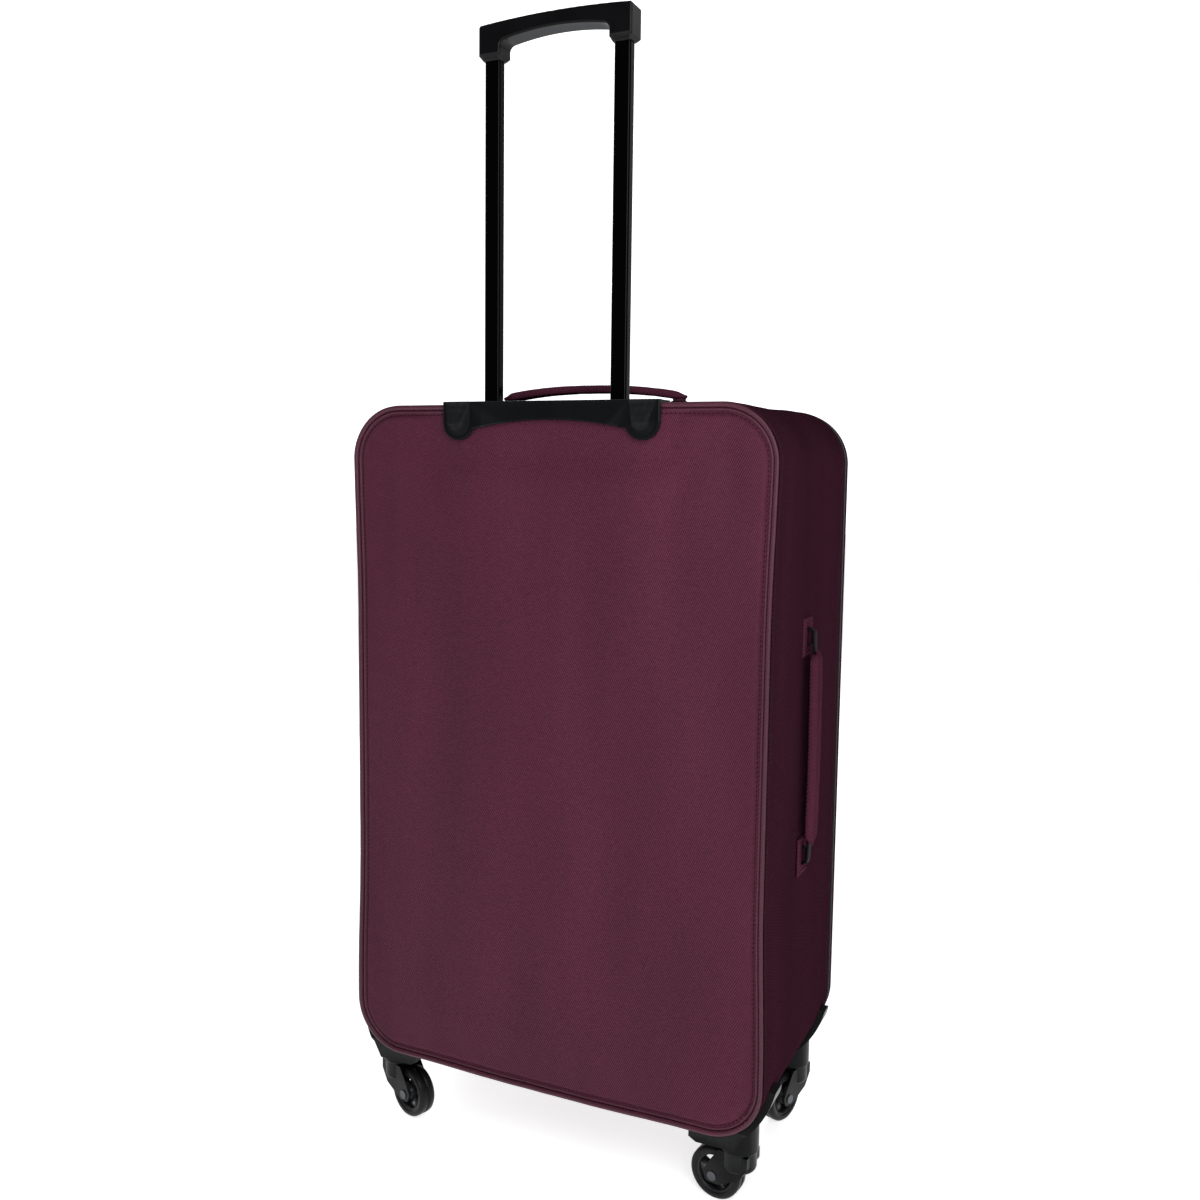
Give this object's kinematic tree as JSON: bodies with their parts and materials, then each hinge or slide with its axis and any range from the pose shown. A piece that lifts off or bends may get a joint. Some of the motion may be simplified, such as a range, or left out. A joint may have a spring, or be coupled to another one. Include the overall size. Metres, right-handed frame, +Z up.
{
  "type": "softside upright suitcase",
  "caption": "Softside upright suitcase with zipped lid, telescopic handle, carry handles and swivel casters.",
  "frame": {"origin": "on the floor, under the centre of the whole object", "axes": "+Z up, +Y out of the back, which carries the telescopic handle, +X to the left of a person standing behind the case"},
  "size_m": [0.4496, 0.278, 1.0658],
  "materials": {
    "shell_fabric": "plum polyester twill, fine diagonal weave",
    "piping_fabric": "plum polyester welt",
    "handle_fabric": "plum polyester sleeve with edge stitching",
    "webbing": "plum polypropylene webbing",
    "lining_fabric": "dark grey polyester lining",
    "zip_tape": "dark woven tape with nylon coil",
    "stiffener_board": "extruded board",
    "moulded_black": "fine-textured black moulding",
    "grip_pad": "soft-touch insert",
    "nylon": "black nylon",
    "gloss_black_tube": "gloss black steel tube",
    "outer_tube_metal": "mill-finish extrusion",
    "plated_steel": "zinc plated",
    "zip_metal": "black-plated die casting",
    "caster_plastic": "satin black moulding",
    "wheel_plastic": "black moulded wheel with soft tread"
  },
  "bodies": {
    "case": {"back_cover": "shell_fabric", "back_board": "stiffener_board", "gusset_cover": "shell_fabric", "base_tray": "stiffener_board", "rim_wire": "plated_steel", "lining": "lining_fabric", "back_piping": "piping_fabric", "body_zip_half": "zip_tape", "hinge_fabric": "shell_fabric", "trolley_bezel": "moulded_black", "bezel_screws": "plated_steel", "outer_tube_left": "outer_tube_metal", "outer_tube_right": "outer_tube_metal", "guide_bushes": "nylon", "tube_foot_bracket": "nylon", "top_handle_anchors": "webbing", "side_handle_anchors": "webbing", "kingpins": "plated_steel", "caster_screws": "plated_steel", "tie_straps": "webbing", "caster_housing_back_left": "caster_plastic", "caster_housing_back_right": "caster_plastic", "caster_housing_front_left": "caster_plastic", "caster_housing_front_right": "caster_plastic"},
    "trolley": {"inner_tube_left": "gloss_black_tube", "inner_tube_right": "gloss_black_tube", "inner_tube_plugs": "nylon", "grip_shell": "moulded_black", "grip_insert": "grip_pad"},
    "release": {"release_button": "moulded_black", "release_yoke": "plated_steel"},
    "left_lock_pin": {"lock_pin_left": "plated_steel"},
    "right_lock_pin": {"lock_pin_right": "plated_steel"},
    "top_handle": {"top_carry_handle": "handle_fabric"},
    "side_handle": {"side_carry_handle": "handle_fabric"},
    "lid": {"lid_cover": "shell_fabric", "lid_board": "stiffener_board", "lid_lining": "lining_fabric", "lid_piping": "piping_fabric", "lid_zip_half": "zip_tape", "front_pocket": "shell_fabric", "pocket_zip": "zip_tape"},
    "left_slider": {"main_slider_left": "zip_metal"},
    "left_pull": {"main_pull_left": "zip_metal"},
    "right_slider": {"main_slider_right": "zip_metal"},
    "right_pull": {"main_pull_right": "zip_metal"},
    "pocket_slider": {"pocket_slider": "zip_metal"},
    "pocket_pull": {"pocket_pull": "zip_metal"},
    "swivel_back_left": {"caster_fork_back_left": "caster_plastic", "caster_axle_back_left": "plated_steel"},
    "roller_back_left": {"wheel_back_left": "wheel_plastic"},
    "swivel_back_right": {"caster_fork_back_right": "caster_plastic", "caster_axle_back_right": "plated_steel"},
    "roller_back_right": {"wheel_back_right": "wheel_plastic"},
    "swivel_front_left": {"caster_fork_front_left": "caster_plastic", "caster_axle_front_left": "plated_steel"},
    "roller_front_left": {"wheel_front_left": "wheel_plastic"},
    "swivel_front_right": {"caster_fork_front_right": "caster_plastic", "caster_axle_front_right": "plated_steel"},
    "roller_front_right": {"wheel_front_right": "wheel_plastic"}
  },
  "joints": [
    {"name": "trolley_slide", "type": "slide", "parent": "case", "child": "trolley", "axis": [0, 0, 1], "range_m": [-0.3, 0]},
    {"name": "button_press", "type": "slide", "parent": "trolley", "child": "release", "axis": [0, 0, -1], "range_m": [0, 0.003], "stiffness_N_per_m": 900, "springref_m": -0.003},
    {"name": "left_lock_pin_slide", "type": "slide", "parent": "trolley", "child": "left_lock_pin", "axis": [-1, 0, 0], "range_m": [0, 0.0024]},
    {"name": "right_lock_pin_slide", "type": "slide", "parent": "trolley", "child": "right_lock_pin", "axis": [1, 0, 0], "range_m": [0, 0.0024]},
    {"name": "top_handle_tilt", "type": "hinge", "parent": "case", "child": "top_handle", "pos_m": [0.00468, 0.03475, 0.731], "axis": [1, 0, 0], "range_deg": [-30, 30]},
    {"name": "side_handle_tilt", "type": "hinge", "parent": "case", "child": "side_handle", "pos_m": [-0.21492, 0.02275, 0.414], "axis": [0, 0, 1], "range_deg": [-22, 22]},
    {"name": "lid_open", "type": "hinge", "parent": "case", "child": "lid", "pos_m": [0.22168, -0.10425, 0.401], "axis": [0, 0, 1], "range_deg": [0, 175]},
    {"name": "left_slider_run", "type": "slide", "parent": "case", "child": "left_slider", "axis": [1, 0, 0], "range_m": [0, 0.1]},
    {"name": "left_pull_swing", "type": "hinge", "parent": "left_slider", "child": "left_pull", "pos_m": [0.04668, -0.10425, 0.7308], "axis": [0, -1, 0], "range_deg": [0, 160]},
    {"name": "right_slider_run", "type": "slide", "parent": "case", "child": "right_slider", "axis": [-1, 0, 0], "range_m": [0, 0.1]},
    {"name": "right_pull_swing", "type": "hinge", "parent": "right_slider", "child": "right_pull", "pos_m": [-0.03732, -0.10425, 0.7308], "axis": [0, 1, 0], "range_deg": [0, 160]},
    {"name": "pocket_slider_run", "type": "slide", "parent": "lid", "child": "pocket_slider", "axis": [1, 0, 0], "range_m": [0, 0.234]},
    {"name": "pocket_pull_swing", "type": "hinge", "parent": "pocket_slider", "child": "pocket_pull", "pos_m": [-0.11232, -0.13765, 0.472], "axis": [-1, 0, 0], "range_deg": [0, 160]},
    {"name": "swivel_turn_back_left", "type": "hinge", "parent": "case", "child": "swivel_back_left", "pos_m": [0.18968, 0.09475, 0.05], "axis": [0, 0, 1], "continuous": true},
    {"name": "wheel_spin_back_left", "type": "hinge", "parent": "swivel_back_left", "child": "roller_back_left", "pos_m": [0.16971, 0.10124, 0.025], "axis": [-0.309, -0.9511, 0], "continuous": true},
    {"name": "swivel_turn_back_right", "type": "hinge", "parent": "case", "child": "swivel_back_right", "pos_m": [-0.18032, 0.09475, 0.05], "axis": [0, 0, 1], "continuous": true},
    {"name": "wheel_spin_back_right", "type": "hinge", "parent": "swivel_back_right", "child": "roller_back_right", "pos_m": [-0.15952, 0.09183, 0.025], "axis": [0.1392, 0.9903, 0], "continuous": true},
    {"name": "swivel_turn_front_left", "type": "hinge", "parent": "case", "child": "swivel_front_left", "pos_m": [0.18968, -0.07925, 0.05], "axis": [0, 0, 1], "continuous": true},
    {"name": "wheel_spin_front_left", "type": "hinge", "parent": "swivel_front_left", "child": "roller_front_left", "pos_m": [0.17983, -0.06071, 0.025], "axis": [-0.8829, -0.4695, 0], "continuous": true},
    {"name": "swivel_turn_front_right", "type": "hinge", "parent": "case", "child": "swivel_front_right", "pos_m": [-0.18032, -0.07925, 0.05], "axis": [0, 0, 1], "continuous": true},
    {"name": "wheel_spin_front_right", "type": "hinge", "parent": "swivel_front_right", "child": "roller_front_right", "pos_m": [-0.17313, -0.05952, 0.025], "axis": [-0.9397, 0.342, 0], "continuous": true}
  ],
  "couplings": [
    {"joint": "left_lock_pin_slide", "follows": "button_press", "ratio": 0.8},
    {"joint": "right_lock_pin_slide", "follows": "button_press", "ratio": 0.8}
  ]
}
